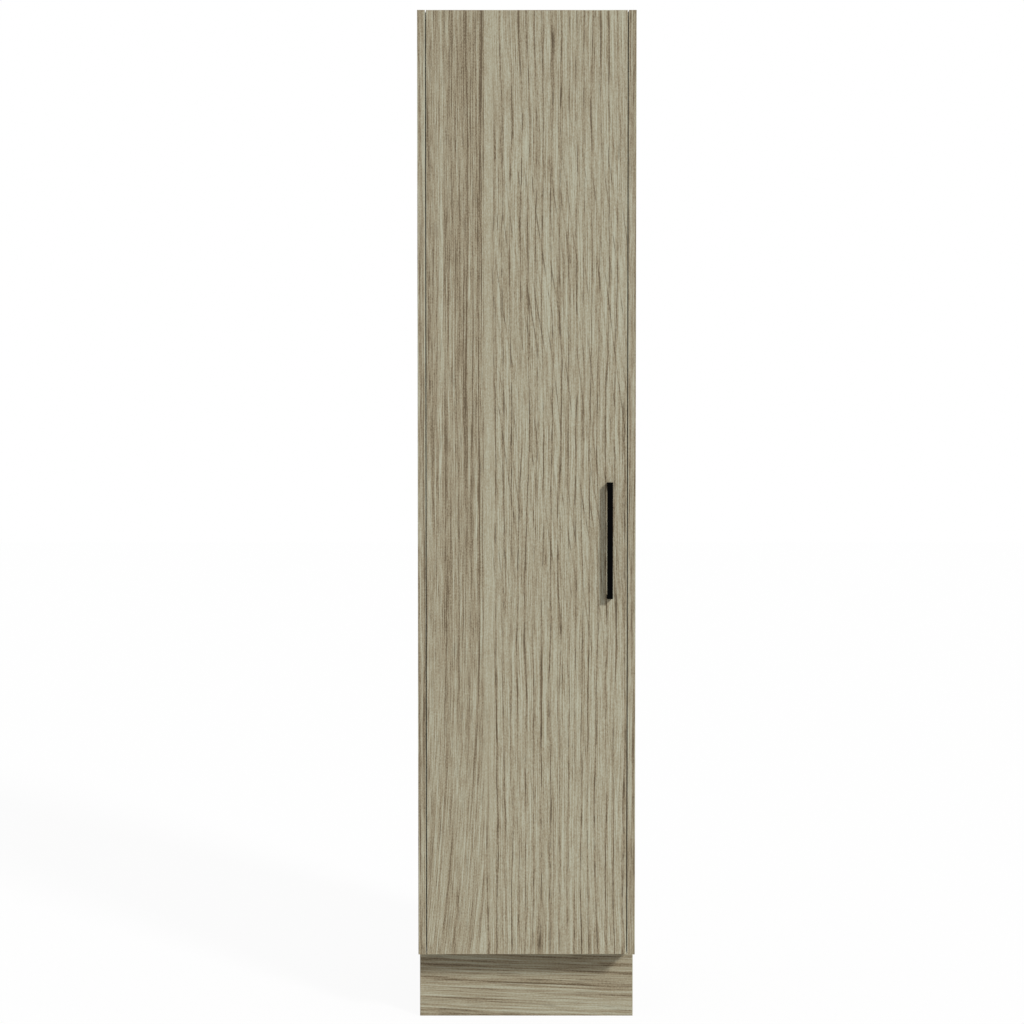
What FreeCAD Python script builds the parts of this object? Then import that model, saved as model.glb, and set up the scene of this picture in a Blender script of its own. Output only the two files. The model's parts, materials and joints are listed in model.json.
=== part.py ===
import FreeCAD, Part
import math
import os

Vec = FreeCAD.Vector

# Cupboard: overall sizes and boards
cabinet_width = 450.0
cabinet_height = 2100.0
cabinet_depth = 580.0
plinth_height = 150.0
board_thickness = 16.0
edging_thickness = 1.0
edging_round_share = 0.8
back_panel_thickness = 3.0
groove_depth = 8.0
groove_clearance = 0.1
back_panel_play = 0.5
rail_height = 80.0
shelf_level = 1700.0
shelf_setback = 40.0
wall_hole_radius = 3.0
wall_hole_spacing = 300.0

# Door and its bumpers
door_thickness = 16.0
door_gap = 2.0
bumper_radius = 4.0
bumper_thickness = 1.5
bumper_clearance = 0.3
bumper_inset = 14.0

# Bar handle and its screws
handle_length = 240.0
handle_width = 12.0
handle_bar_depth = 3.0
handle_projection = 20.0
handle_leg = 8.0
handle_corner = 1.2
handle_edge_round = 0.5
handle_edge_distance = 35.5
handle_level = 1012.0
handle_screw_radius = 2.0
handle_screw_grip = 10.0
handle_screw_head_radius = 4.0
handle_screw_head_height = 2.4

# Kickboard
kick_thickness = 16.0
kick_setback = 78.0
kick_floor_gap = 1.0
kick_top_gap = 0.5

# Adjustable legs
leg_side_inset = 70.0
leg_back_inset = 70.0
leg_radius = 20.0
leg_bore_radius = 14.2
leg_roof = 6.0
leg_floor_gap = 34.0
socket_plate = 64.0
socket_plate_thickness = 4.0
socket_rib_thickness = 3.0
socket_rib_reach = 10.0
socket_rib_height = 18.0
foot_radius = 28.0
foot_rim = 5.0
foot_cone_height = 9.0
foot_running_fit = 0.1
foot_engagement = 60.0
leg_screw_radius = 2.0
leg_screw_grip = 12.0
leg_screw_head_radius = 3.8
leg_screw_head_height = 2.0
leg_screw_spacing = 50.0

# Clips between the kickboard and the front legs
clip_space = 12.0
clip_level = 60.0
clip_height = 24.0
clip_wall = 3.0
clip_plate_width = 44.0
clip_neck_width = 16.0
clip_mouth = 8.0
clip_fit = 0.1

# Cam fittings and dowels of the carcass
cam_radius = 7.5
cam_depth = 12.5
cam_reach = 34.0
cam_slot_width = 1.4
cam_slot_length = 9.0
cam_slot_depth = 1.5
cam_bolt_radius = 2.5
cam_bolt_grip = 10.0
cam_bolt_end_gap = 2.0
cam_bolt_play = 0.3
cam_front_inset = 30.0
cam_back_inset = 130.0
dowel_radius = 4.0
dowel_length = 30.0
dowel_grip = 10.0
dowel_step = 32.0

# Hinge cup, sunk in the inside face of the door
hinge_count = 4
hinge_end_inset = 100.0
cup_radius = 17.5
cup_fit = 0.05
cup_depth = 11.8
cup_wall = 1.3
cup_floor = 1.3
cup_edge_distance = 3.5
cup_flange_width = 2.0
cup_flange_thickness = 1.2
cup_wing_half_width = 6.5
cup_screw_spacing = 48.0
cup_screw_offset = 6.0
cup_screw_radius = 1.75
cup_screw_grip = 11.0
cup_screw_head_radius = 3.2
cup_screw_head_height = 1.6
cup_ear_half_width = 2.6
cup_ear_drop = 0.5
cup_ear_clearance = 0.7

# Hinge link and its two pins, measured from the cup pin and the inside face of the door
pin_radius = 1.2
pin_fit = 0.05
pin_end_gap = 0.4
cup_pin_inset = 6.5
cup_pin_depth = 3.35
link_reach = 25.0
arm_pin_rise = 4.6
link_dip_reach = 4.0
link_dip_depth = 8.4
link_rise_reach = 9.8
link_rise_depth = 6.6
link_half_width = 1.6
link_eye_radius = 2.6
link_thickness = 12.0

# Hinge arm and its plate, measured from the side panel and the inside face of the door
arm_half_width = 3.0
arm_sheet = 1.4
arm_side_clearance = 0.3
arm_eye_clearance = 0.5
arm_web_drop_share = 0.36
arm_knee_height = 17.0
arm_knee_depth = 29.7
arm_tail_height = 10.0
arm_heel_depth = 38.0
arm_tail_depth = 80.0
arm_screw_depth = 62.0
arm_screw_radius = 1.8
arm_screw_grip = 6.0
arm_screw_head_radius = 3.0
arm_screw_head_height = 2.0
plate_thickness = 2.0
plate_screw_depth = 37.0
plate_screw_spacing = 32.0
plate_wing_half_width = 8.0
plate_rib_start = 43.0
plate_screw_radius = 2.5
plate_screw_grip = 11.0
plate_screw_head_radius = 4.2
plate_screw_head_height = 1.8

# Fit of a fastener in its hole, and how far cuts run past a face
fastener_fit = 0.05
overrun = 1.0
same_place = 1e-4

# Planes and levels worked out from the sizes above
half_width = cabinet_width / 2
inner_half = half_width - board_thickness
front = handle_projection - (cabinet_depth + handle_projection) / 2
back = front + cabinet_depth
floor = 0
carcass_bottom = plinth_height
bottom_top = carcass_bottom + board_thickness
top_under = cabinet_height - board_thickness
door_back = front + door_thickness
panel_front = door_back + bumper_thickness + bumper_clearance
shelf_front = panel_front + shelf_setback
rail_front = back - board_thickness
back_panel_front = rail_front - back_panel_thickness
door_right = inner_half - door_gap
door_left = -door_right
kick_front = front + kick_setback
kick_back = kick_front + kick_thickness
leg_x = half_width - leg_side_inset
leg_front_y = kick_back + clip_space + leg_radius
leg_back_y = back - leg_back_inset
handle_x = door_right - handle_edge_distance
edging_round = edging_thickness * edging_round_share

# Hinge places: reach from the door's hinge edge and rise from the door's inside face
cup_centre = cup_edge_distance + cup_radius
cup_pin_reach = cup_edge_distance + cup_pin_inset
arm_pin_reach = cup_pin_reach + link_reach
arm_inner_half = link_thickness / 2 + arm_side_clearance
arm_outer_half = arm_inner_half + arm_sheet
side_face = -door_gap
arm_tail_reach = side_face + arm_tail_height
arm_web_under = arm_tail_reach + arm_half_width - arm_sheet
arm_web_top = arm_tail_reach + arm_half_width

AXIS_X = Vec(1, 0, 0)
AXIS_Y = Vec(0, 1, 0)
AXIS_Z = Vec(0, 0, 1)
SIDES = {"left": -1, "right": 1}


def block(x0, x1, y0, y1, z0, z1):
    """Box between two corners, given in any order."""
    low = Vec(min(x0, x1), min(y0, y1), min(z0, z1))
    return Part.makeBox(abs(x1 - x0), abs(y1 - y0), abs(z1 - z0), low)


def rod(radius, start, end):
    """Round bar from one point to another."""
    along = end - start
    return Part.makeCylinder(radius, along.Length, start, along)


def prism(points, thickness_vector):
    """Flat outline extruded along a vector."""
    wire = Part.makePolygon(points + [points[0]])
    return Part.Face(wire).extrude(thickness_vector)


def band(points, half_width_of_band, z0, z1):
    """Flat strip of even width with round ends and bends, between two levels."""
    outline = Part.makePolygon(points).makeOffset2D(half_width_of_band, 0, False, False, False)
    strip = Part.Face(outline).extrude(Vec(0, 0, z1 - z0))
    strip.translate(Vec(0, 0, z0 - points[0].z))
    return strip


def turned(profile, centre, axis, across):
    """Solid of revolution: profile points are (radius, distance along the axis)."""
    points = [centre + across * radius + axis * along for radius, along in profile]
    wire = Part.makePolygon(points + [points[0]])
    return Part.Face(wire).revolve(centre, axis, 360)


def edges_at(shape, x=None, y=None, z=None):
    """Edges of a shape that lie wholly at the given coordinates."""
    found = []
    for edge in shape.Edges:
        box = edge.BoundBox
        spans = ((x, box.XMin, box.XMax), (y, box.YMin, box.YMax), (z, box.ZMin, box.ZMax))
        if all(value is None or max(abs(low - value), abs(high - value)) < same_place
               for value, low, high in spans):
            found.append(edge)
    return found


def save(name, shape):
    """Write one node."""
    shape.exportStep(f"parts/{name}.step")


def save_group(name, solids):
    """Write one node that holds several separate solids."""
    save(name, Part.makeCompound(solids))


def joined_panels():
    """Level boards held by cams: lower face, front edge and the face that the cams go in."""
    return {
        "top_panel": (top_under, panel_front, cabinet_height),
        "bottom_panel": (carcass_bottom, panel_front, carcass_bottom),
        "fixed_shelf": (shelf_level, shelf_front, shelf_level),
    }


def panel_back(name):
    """Back edge of a level board: the shelf stops at the back panel."""
    return back_panel_front if name == "fixed_shelf" else back


def cam_rows(name):
    """Places of the cams along the depth of a level board."""
    return (joined_panels()[name][1] + cam_front_inset, panel_back(name) - cam_back_inset)


def dowel_rows(name):
    """Places of the dowels along the depth, one step in from each cam."""
    first, last = cam_rows(name)
    return (first + dowel_step, last - dowel_step)


def cam_bolt(side, y, z, radius):
    """Bolt from the side panel into a cam, or its hole when larger."""
    start = Vec(side * (inner_half + cam_bolt_grip), y, z)
    end = Vec(side * (inner_half - cam_reach + cam_bolt_end_gap), y, z)
    return rod(radius, start, end)


def dowel(side, y, z, radius):
    """Dowel between a side panel and the end of a board."""
    start = Vec(side * (inner_half + dowel_grip), y, z)
    end = Vec(side * (inner_half + dowel_grip - dowel_length), y, z)
    return rod(radius, start, end)


def cam_places(name):
    """Side, depth and centre level of every cam bolt of a board."""
    middle = joined_panels()[name][0] + board_thickness / 2
    return [(side, y, middle) for side in SIDES.values() for y in cam_rows(name)]


def dowel_places(name):
    """Side, depth and centre level of every dowel of a board."""
    middle = joined_panels()[name][0] + board_thickness / 2
    return [(side, y, middle) for side in SIDES.values() for y in dowel_rows(name)]


def rail_levels():
    """Lower edge of each fixing rail behind the back panel."""
    return {"fixing_rail_upper": top_under - rail_height, "fixing_rail_lower": bottom_top}


def rail_dowel_places():
    """Two dowels in each end of each rail."""
    y = rail_front + board_thickness / 2
    places = []
    for low in rail_levels().values():
        for side in SIDES.values():
            places.append((side, y, low + (rail_height - dowel_step) / 2))
            places.append((side, y, low + (rail_height + dowel_step) / 2))
    return places


def all_bolt_places():
    """Every cam bolt of the carcass."""
    return [place for name in joined_panels() for place in cam_places(name)]


def all_dowel_places():
    """Every dowel of the carcass."""
    return [place for name in joined_panels() for place in dowel_places(name)] + rail_dowel_places()


def joint_holes():
    """Holes for all cam bolts and dowels, to be cut from the boards."""
    holes = [cam_bolt(*place, cam_bolt_radius + fastener_fit) for place in all_bolt_places()]
    holes += [dowel(*place, dowel_radius + fastener_fit) for place in all_dowel_places()]
    return Part.makeCompound(holes)


def back_groove():
    """Groove round the inside of the carcass that holds the back panel."""
    x = inner_half + groove_depth
    return block(-x, x, back_panel_front - groove_clearance, rail_front,
                 bottom_top - groove_depth, top_under + groove_depth)


def side_panel(side):
    """Tall side board with its groove and joint holes."""
    board = block(side * inner_half, side * half_width, front + edging_thickness, back,
                  carcass_bottom, cabinet_height)
    board = board.cut(back_groove()).cut(joint_holes())
    return board.cut(Part.makeCompound(plate_screw_holes())) if side < 0 else board


def side_edging(side):
    """Strip with rounded corners on the front edge of a side board."""
    strip = block(side * inner_half, side * half_width, front, front + edging_thickness,
                  carcass_bottom, cabinet_height)
    corners = edges_at(strip, x=side * inner_half, y=front) + edges_at(strip, x=side * half_width, y=front)
    return strip.makeFillet(edging_round, corners)


def cam_seat(side, y, face, inward, radius):
    """Round bore for a cam, sunk from one face of a board."""
    start = Vec(side * (inner_half - cam_reach), y, face)
    return rod(radius, start, start + AXIS_Z * inward * cam_depth)


def level_panel(name):
    """Board between the sides, bored for its cams, bolts and dowels."""
    low, edge, cam_face = joined_panels()[name]
    board = block(-inner_half, inner_half, edge + edging_thickness, panel_back(name),
                  low, low + board_thickness)
    inward = 1 if cam_face == low else -1
    seats = [cam_seat(side, y, cam_face, inward, cam_radius) for side, y, _ in cam_places(name)]
    board = board.cut(Part.makeCompound(seats)).cut(joint_holes())
    return board if name == "fixed_shelf" else board.cut(back_groove())


def level_edging(name):
    """Strip on the front edge of a level board."""
    low, edge, _ = joined_panels()[name]
    high = low + board_thickness
    strip = block(-inner_half, inner_half, edge, edge + edging_thickness, low, high)
    return strip.makeFillet(edging_round, edges_at(strip, y=edge, z=low) + edges_at(strip, y=edge, z=high))


def cam_disc(side, y, face, inward):
    """Cam with its driver slot and the mouth that takes the bolt."""
    centre = Vec(side * (inner_half - cam_reach), y, face)
    disc = cam_seat(side, y, face, inward, cam_radius - fastener_fit)
    middle = centre + AXIS_Z * inward * board_thickness / 2
    mouth = rod(cam_bolt_radius + cam_bolt_play, middle, middle + AXIS_X * side * (cam_radius + overrun))
    slot = block(centre.x - cam_slot_length / 2, centre.x + cam_slot_length / 2,
                 y - cam_slot_width / 2, y + cam_slot_width / 2,
                 face - inward * overrun, face + inward * cam_slot_depth)
    return disc.cut(mouth).cut(slot)


def cam_discs():
    """All cams of the carcass."""
    discs = []
    for name, (low, _, cam_face) in joined_panels().items():
        inward = 1 if cam_face == low else -1
        discs += [cam_disc(side, y, cam_face, inward) for side, y, _ in cam_places(name)]
    return discs


def back_panel():
    """Thin board seated in the groove all round."""
    x = inner_half + groove_depth - back_panel_play
    board = block(-x, x, back_panel_front, rail_front, bottom_top - groove_depth + back_panel_play,
                  top_under + groove_depth - back_panel_play)
    return board.cut(Part.makeCompound(wall_holes()))


def wall_holes():
    """Holes through the upper rail and the back panel for fixing to a wall."""
    level = rail_levels()["fixing_rail_upper"] + rail_height / 2
    return [rod(wall_hole_radius, Vec(x, back_panel_front - overrun, level), Vec(x, back + overrun, level))
            for x in (-wall_hole_spacing / 2, wall_hole_spacing / 2)]


def fixing_rail(name):
    """Rail behind the back panel, between the sides."""
    low = rail_levels()[name]
    rail = block(-inner_half, inner_half, rail_front, back, low, low + rail_height).cut(joint_holes())
    return rail.cut(Part.makeCompound(wall_holes())) if name == "fixing_rail_upper" else rail


def kickboard():
    """Board in front of the legs."""
    x = half_width - edging_thickness
    return block(-x, x, kick_front, kick_back, kick_floor_gap, carcass_bottom - kick_top_gap)


def kick_edging(side):
    """Strip on one end of the kickboard, rounded along its front corner."""
    outer = side * half_width
    strip = block(outer - side * edging_thickness, outer, kick_front, kick_back,
                  kick_floor_gap, carcass_bottom - kick_top_gap)
    return strip.makeFillet(edging_round, edges_at(strip, x=outer, y=kick_front))


def leg_places():
    """Centre of each leg."""
    places = {}
    for side_name, side in SIDES.items():
        places[f"front_{side_name}"] = Vec(side * leg_x, leg_front_y, floor)
        places[f"back_{side_name}"] = Vec(side * leg_x, leg_back_y, floor)
    return places


def leg_screw_points(centre):
    """Four screw places at the corners of a leg's plate."""
    step = leg_screw_spacing / 2
    level = carcass_bottom - socket_plate_thickness
    return [Vec(centre.x + sx * step, centre.y + sy * step, level) for sx in (-1, 1) for sy in (-1, 1)]


def socket_rib(centre, angle):
    """Web between the plate and the tube of a leg."""
    under = carcass_bottom - socket_plate_thickness
    inner = leg_radius - socket_rib_thickness
    half = socket_rib_thickness / 2
    points = [Vec(inner, -half, under), Vec(leg_radius + socket_rib_reach, -half, under),
              Vec(leg_radius, -half, under - socket_rib_height), Vec(inner, -half, under - socket_rib_height)]
    rib = prism(points, AXIS_Y * socket_rib_thickness)
    rib.rotate(Vec(0, 0, 0), AXIS_Z, angle)
    rib.translate(centre)
    return rib


def leg_socket(centre):
    """Plate under the bottom board with the tube that takes the foot."""
    half = socket_plate / 2
    under = carcass_bottom - socket_plate_thickness
    plate = block(centre.x - half, centre.x + half, centre.y - half, centre.y + half, under, carcass_bottom)
    tube = rod(leg_radius, centre + AXIS_Z * leg_floor_gap, centre + AXIS_Z * carcass_bottom)
    ribs = [socket_rib(centre, angle) for angle in range(0, 360, 90)]
    bore = rod(leg_bore_radius, centre + AXIS_Z * (leg_floor_gap - overrun),
               centre + AXIS_Z * (carcass_bottom - leg_roof))
    holes = [rod(leg_screw_radius + fastener_fit, point - AXIS_Z * overrun,
                 point + AXIS_Z * (socket_plate_thickness + overrun)) for point in leg_screw_points(centre)]
    return plate.multiFuse([tube] + ribs).cut(Part.makeCompound([bore] + holes)).removeSplitter()


def leg_foot(centre):
    """Foot with its stem in the leg's tube."""
    stem = leg_bore_radius - foot_running_fit
    top = leg_floor_gap + foot_engagement
    profile = [(0, floor), (foot_radius, floor), (foot_radius, foot_rim), (stem, foot_rim + foot_cone_height),
               (stem, top), (0, top)]
    return turned(profile, centre, AXIS_Z, AXIS_X)


def headed_screw(point, inward, radius, length, head_radius, head_height):
    """Screw whose head sits on a face at the point and whose shank goes inward."""
    head = rod(head_radius, point, point - inward * head_height)
    return head.fuse(rod(radius, point, point + inward * length))


def leg_screws():
    """Screws up through the plates into the bottom board."""
    length = socket_plate_thickness + leg_screw_grip
    return [headed_screw(point, AXIS_Z, leg_screw_radius, length,
                         leg_screw_head_radius, leg_screw_head_height)
            for centre in leg_places().values() for point in leg_screw_points(centre)]


def leg_screw_holes():
    """Pilot holes in the bottom board."""
    length = socket_plate_thickness + leg_screw_grip
    return [rod(leg_screw_radius + fastener_fit, point, point + AXIS_Z * length)
            for centre in leg_places().values() for point in leg_screw_points(centre)]


def kick_clip(centre):
    """Clip with its plate on the kickboard and its jaws round a front leg."""
    low = centre + AXIS_Z * clip_level
    high = low + AXIS_Z * clip_height
    jaws = rod(leg_radius + clip_fit + clip_wall, low, high)
    plate = block(centre.x - clip_plate_width / 2, centre.x + clip_plate_width / 2,
                  kick_back, kick_back + clip_wall, low.z, high.z)
    neck = block(centre.x - clip_neck_width / 2, centre.x + clip_neck_width / 2,
                 kick_back, centre.y, low.z, high.z)
    reach = leg_radius + clip_wall + overrun
    mouth = block(centre.x - reach, centre.x + reach, centre.y + clip_mouth, centre.y + reach, low.z, high.z)
    leg = rod(leg_radius + clip_fit, low, high)
    return jaws.multiFuse([plate, neck]).cut(leg).cut(mouth).removeSplitter()


def door_panel():
    """Door board, bored for the hinge cups and all its screws."""
    e = edging_thickness
    board = block(door_left + e, door_right - e, front, door_back, carcass_bottom + e, cabinet_height - e)
    holes = []
    for level in hinge_levels():
        holes.append(cup_bore(level, cup_radius))
        holes += [rod(cup_screw_radius + fastener_fit, point, point - AXIS_Y * cup_screw_grip)
                  for point in cup_screw_points(level, 0)]
    holes += [rod(handle_screw_radius + fastener_fit, point, point - AXIS_Y * door_thickness)
              for point in handle_screw_points()]
    return board.cut(Part.makeCompound(holes))


def door_edging():
    """Strips on the four edges of the door, rounded along their outer corners."""
    e = edging_thickness
    strips = {}
    for name, side in SIDES.items():
        outer = side * door_right
        strip = block(outer - side * e, outer, front, door_back, carcass_bottom, cabinet_height)
        corners = edges_at(strip, x=outer, y=front) + edges_at(strip, x=outer, y=door_back)
        strips[name] = strip.makeFillet(edging_round, corners)
    for name, outer, inner in (("bottom", carcass_bottom, carcass_bottom + e),
                               ("top", cabinet_height, cabinet_height - e)):
        strip = block(door_left + e, door_right - e, front, door_back, inner, outer)
        corners = edges_at(strip, y=front, z=outer) + edges_at(strip, y=door_back, z=outer)
        strips[name] = strip.makeFillet(edging_round, corners)
    return strips


def door_bumpers():
    """Soft dots that meet the top and bottom boards."""
    x = door_right - bumper_inset
    levels = (carcass_bottom + board_thickness / 2, cabinet_height - board_thickness / 2)
    return [rod(bumper_radius, Vec(x, door_back, z), Vec(x, door_back + bumper_thickness, z)) for z in levels]


def handle_screw_points():
    """Places of the handle's screws on the inside face of the door."""
    step = (handle_length - handle_leg) / 2
    return [Vec(handle_x, door_back, handle_level + sign * step) for sign in (-1, 1)]


def handle():
    """Bar with a leg at each end, in one piece."""
    half = handle_width / 2
    outer = front - handle_projection
    low = handle_level - handle_length / 2
    high = handle_level + handle_length / 2
    bar = block(handle_x - half, handle_x + half, outer, front, low, high)
    bar = bar.makeFillet(handle_corner, edges_at(bar, y=outer, z=low) + edges_at(bar, y=outer, z=high))
    gap = block(handle_x - half - overrun, handle_x + half + overrun,
                outer + handle_bar_depth, front + overrun, low + handle_leg, high - handle_leg)
    bar = bar.cut(gap)
    rims = edges_at(bar, x=handle_x - half, y=outer) + edges_at(bar, x=handle_x + half, y=outer)
    bar = bar.makeFillet(handle_edge_round, rims)
    bores = [rod(handle_screw_radius + fastener_fit, Vec(point.x, front, point.z),
                 Vec(point.x, front - handle_screw_grip, point.z)) for point in handle_screw_points()]
    return bar.cut(Part.makeCompound(bores))


def handle_screws():
    """Screws through the door into the handle's legs."""
    length = door_thickness + handle_screw_grip
    return [headed_screw(point, -AXIS_Y, handle_screw_radius, length, handle_screw_head_radius,
                         handle_screw_head_height) for point in handle_screw_points()]


def hinge_levels():
    """Heights of the hinges, spread evenly along the door."""
    first = carcass_bottom + hinge_end_inset
    last = cabinet_height - hinge_end_inset
    return [first + (last - first) * i / (hinge_count - 1) for i in range(hinge_count)]


def hinge_point(reach, rise, level):
    """Point given by its reach from the hinge edge and its rise from the inside face."""
    return Vec(door_left + reach, door_back + rise, level)


def cup_screw_points(level, rise):
    """Places of the two screws of a cup."""
    step = cup_screw_spacing / 2
    reach = cup_centre + cup_screw_offset
    return [hinge_point(reach, rise, level + sign * step) for sign in (-1, 1)]


def cup_bore(level, radius):
    """Round space that a cup takes up in the door."""
    return rod(radius, hinge_point(cup_centre, -cup_depth, level), hinge_point(cup_centre, 0, level))


def cup_wing(level):
    """Flat ear of the cup that takes its two screws."""
    low, high = cup_screw_points(level, 0)
    bar = block(low.x - cup_wing_half_width, low.x + cup_wing_half_width, low.y, low.y + cup_flange_thickness,
                low.z, high.z)
    ends = [rod(cup_wing_half_width, point, point + AXIS_Y * cup_flange_thickness) for point in (low, high)]
    return bar.multiFuse(ends)


def cup_ears(level):
    """Blocks inside the cup that hold the ends of its pin."""
    z0 = arm_outer_half + cup_ear_clearance
    x0 = cup_pin_reach - cup_ear_half_width
    x1 = cup_pin_reach + cup_ear_half_width
    body = cup_bore(level, cup_radius - cup_fit)
    ears = []
    for sign in (-1, 1):
        low = hinge_point(x0, -cup_depth, level + sign * z0)
        high = hinge_point(x1, -cup_ear_drop, level + sign * cup_radius)
        ears.append(block(low.x, high.x, low.y, high.y, low.z, high.z).common(body))
    return ears


def hinge_cup(level):
    """Round cup with its flange, screw wing and pin ears."""
    outer = cup_radius - cup_fit
    flange = cup_radius + cup_flange_width
    profile = [(0, -cup_depth), (outer, -cup_depth), (outer, 0), (flange, 0),
               (flange, cup_flange_thickness), (0, cup_flange_thickness)]
    shell = turned(profile, hinge_point(cup_centre, 0, level), AXIS_Y, AXIS_X)
    bowl = rod(cup_radius - cup_wall, hinge_point(cup_centre, cup_floor - cup_depth, level),
               hinge_point(cup_centre, cup_flange_thickness + overrun, level))
    holes = [rod(cup_screw_radius + fastener_fit, point, point + AXIS_Y * (cup_flange_thickness + overrun))
             for point in cup_screw_points(level, 0)]
    cup = shell.fuse(cup_wing(level)).cut(Part.makeCompound([bowl] + holes))
    return cup.multiFuse(cup_ears(level)).cut(cup_pin(level, pin_radius + pin_fit)).removeSplitter()


def cup_pin(level, radius):
    """Pin across the cup, or its hole when larger."""
    half = math.sqrt((cup_radius - cup_wall) ** 2 - (cup_radius - cup_pin_inset) ** 2) - pin_end_gap
    middle = hinge_point(cup_pin_reach, -cup_pin_depth, level)
    return rod(radius, middle - AXIS_Z * half, middle + AXIS_Z * half)


def arm_pin(level, radius):
    """Pin across the nose of the arm, or its hole when larger."""
    middle = hinge_point(arm_pin_reach, arm_pin_rise, level)
    return rod(radius, middle - AXIS_Z * arm_outer_half, middle + AXIS_Z * arm_outer_half)


def hinge_link(level):
    """Gooseneck between the cup pin and the arm pin, dipping into the cup."""
    low = level - link_thickness / 2
    high = level + link_thickness / 2
    cup_end = hinge_point(cup_pin_reach, -cup_pin_depth, level)
    arm_end = hinge_point(arm_pin_reach, arm_pin_rise, level)
    bends = [hinge_point(cup_pin_reach + link_dip_reach, -link_dip_depth, level),
             hinge_point(cup_pin_reach + link_rise_reach, -link_rise_depth, level)]
    neck = band([cup_end] + bends + [arm_end], link_half_width, low, high)
    eyes = [rod(link_eye_radius, Vec(end.x, end.y, low), Vec(end.x, end.y, high))
            for end in (cup_end, arm_end)]
    bores = [cup_pin(level, pin_radius + pin_fit), arm_pin(level, pin_radius + pin_fit)]
    return neck.multiFuse(eyes).cut(Part.makeCompound(bores)).removeSplitter()


def arm_path(level):
    """Middle line of the arm: nose, knee, heel and tail."""
    return [hinge_point(arm_pin_reach, arm_pin_rise, level),
            hinge_point(side_face + arm_knee_height, arm_knee_depth, level),
            hinge_point(arm_tail_reach, arm_heel_depth, level),
            hinge_point(arm_tail_reach, arm_tail_depth, level)]


def hinge_arm(level):
    """Cranked channel: two cheeks and a web on the side away from the panel."""
    path = arm_path(level)
    arm = band(path, arm_half_width, level - arm_outer_half, level + arm_outer_half)
    hollow = band(path, arm_half_width, level - arm_inner_half, level + arm_inner_half)
    hollow.translate(Vec(-arm_sheet, -arm_sheet * arm_web_drop_share, 0))
    nose = path[0]
    mouth = rod(link_eye_radius + arm_eye_clearance,
                nose - AXIS_Z * arm_inner_half, nose + AXIS_Z * arm_inner_half)
    screw_hole = rod(arm_screw_radius + fastener_fit,
                     hinge_point(arm_web_under - overrun, arm_screw_depth, level),
                     hinge_point(arm_web_top + overrun, arm_screw_depth, level))
    pin_hole = arm_pin(level, pin_radius + pin_fit)
    return arm.cut(Part.makeCompound([hollow, screw_hole])).cut(mouth).cut(pin_hole)


def arm_screw(level):
    """Screw that clamps the arm on the rib of its plate."""
    point = hinge_point(arm_web_top, arm_screw_depth, level)
    return headed_screw(point, -AXIS_X, arm_screw_radius, arm_sheet + arm_screw_grip,
                        arm_screw_head_radius, arm_screw_head_height)


def plate_screw_points(level):
    """Places of the two screws of a mounting plate, on its outer face."""
    step = plate_screw_spacing / 2
    reach = side_face + plate_thickness
    return [hinge_point(reach, plate_screw_depth, level + sign * step) for sign in (-1, 1)]


def plate_screw_holes():
    """Holes in the side board for the plates' screws."""
    length = plate_thickness + plate_screw_grip
    return [rod(plate_screw_radius + fastener_fit, point, point - AXIS_X * length)
            for level in hinge_levels() for point in plate_screw_points(level)]


def hinge_plate(level):
    """Cross-shaped plate on the side board with the rib that the arm sits on."""
    low, high = plate_screw_points(level)
    x0 = door_left + side_face
    x1 = x0 + plate_thickness
    wing_front = low.y - plate_wing_half_width
    wing = block(x0, x1, wing_front, low.y + plate_wing_half_width, low.z, high.z)
    ends = [rod(plate_wing_half_width, Vec(x0, point.y, point.z), Vec(x1, point.y, point.z))
            for point in (low, high)]
    tail = hinge_point(arm_web_under, arm_tail_depth - arm_half_width, level + arm_outer_half)
    stem = block(x0, x1, wing_front, tail.y, level - arm_outer_half, tail.z)
    rib_half = arm_inner_half - arm_side_clearance
    rib = block(x0, tail.x, door_back + plate_rib_start, tail.y, level - rib_half, level + rib_half)
    holes = [rod(plate_screw_radius + fastener_fit, Vec(x0 - overrun, point.y, point.z),
                 Vec(x1 + overrun, point.y, point.z)) for point in (low, high)]
    holes.append(rod(arm_screw_radius + fastener_fit, hinge_point(arm_web_under, arm_screw_depth, level),
                     hinge_point(arm_web_under - arm_screw_grip, arm_screw_depth, level)))
    return wing.multiFuse(ends + [stem, rib]).cut(Part.makeCompound(holes)).removeSplitter()


def plate_screws():
    """Screws of all mounting plates."""
    return [headed_screw(point, -AXIS_X, plate_screw_radius, plate_thickness + plate_screw_grip,
                         plate_screw_head_radius, plate_screw_head_height)
            for level in hinge_levels() for point in plate_screw_points(level)]


def cup_screws():
    """Screws of all hinge cups."""
    return [headed_screw(point, -AXIS_Y, cup_screw_radius, cup_flange_thickness + cup_screw_grip,
                         cup_screw_head_radius, cup_screw_head_height)
            for level in hinge_levels() for point in cup_screw_points(level, cup_flange_thickness)]


def build_carcass():
    """Boards, edging, fittings and kickboard of the standing part."""
    for name, side in SIDES.items():
        save(f"side_panel_{name}", side_panel(side))
        save(f"side_edging_{name}", side_edging(side))
        save(f"kick_edging_{name}", kick_edging(side))
    for name in joined_panels():
        panel = level_panel(name)
        if name == "bottom_panel":
            panel = panel.cut(Part.makeCompound(leg_screw_holes()))
        save(name, panel)
        save(f"{name}_edging", level_edging(name))
    for name in rail_levels():
        save(name, fixing_rail(name))
    save("back_panel", back_panel())
    save("kickboard", kickboard())
    save_group("cam_discs", cam_discs())
    save_group("cam_bolts", [cam_bolt(*place, cam_bolt_radius) for place in all_bolt_places()])
    save_group("dowels", [dowel(*place, dowel_radius) for place in all_dowel_places()])


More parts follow.
